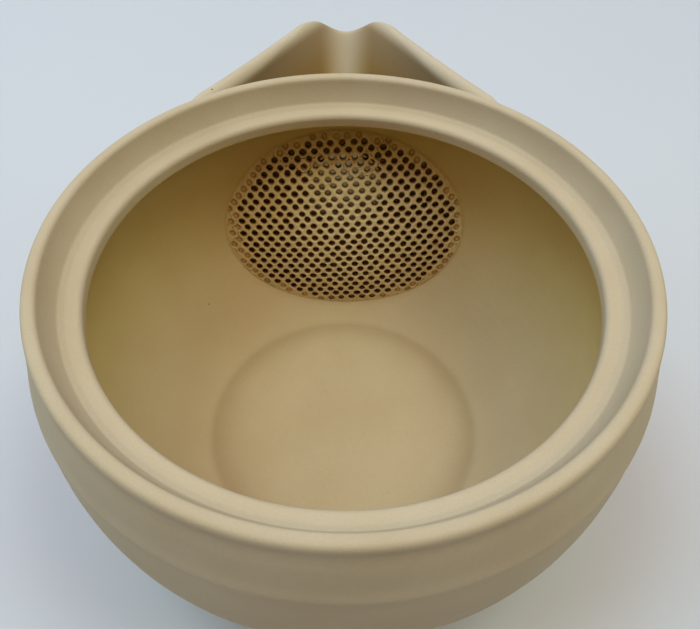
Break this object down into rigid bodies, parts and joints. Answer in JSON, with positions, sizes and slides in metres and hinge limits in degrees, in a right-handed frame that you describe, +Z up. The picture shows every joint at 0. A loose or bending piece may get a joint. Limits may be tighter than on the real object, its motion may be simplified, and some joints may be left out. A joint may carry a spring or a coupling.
{
  "type": "handleless teapot",
  "caption": "Round handleless clay teapot, shown open, with a lid seat, a pierced strainer dome inside and an open beak spout.",
  "frame": {"origin": "middle of the flat base, on the pot's axis, where it rests", "axes": "+Z up through the mouth, +Y towards the spout's lip"},
  "size_m": [0.097, 0.1185, 0.0557],
  "materials": {
    "clay_body": "matt unglazed cream clay with fine brown specks",
    "clay_spout": "matt unglazed cream clay",
    "clay_strainer": "matt unglazed cream clay, pierced",
    "clay_seam": "matt unglazed cream clay, wiped smooth"
  },
  "bodies": {
    "root": {"body_bowl": "clay_body", "spout": "clay_spout", "strainer": "clay_strainer", "strainer_luting_bead": "clay_seam", "spout_luting_bead": "clay_seam"}
  },
  "joints": []
}
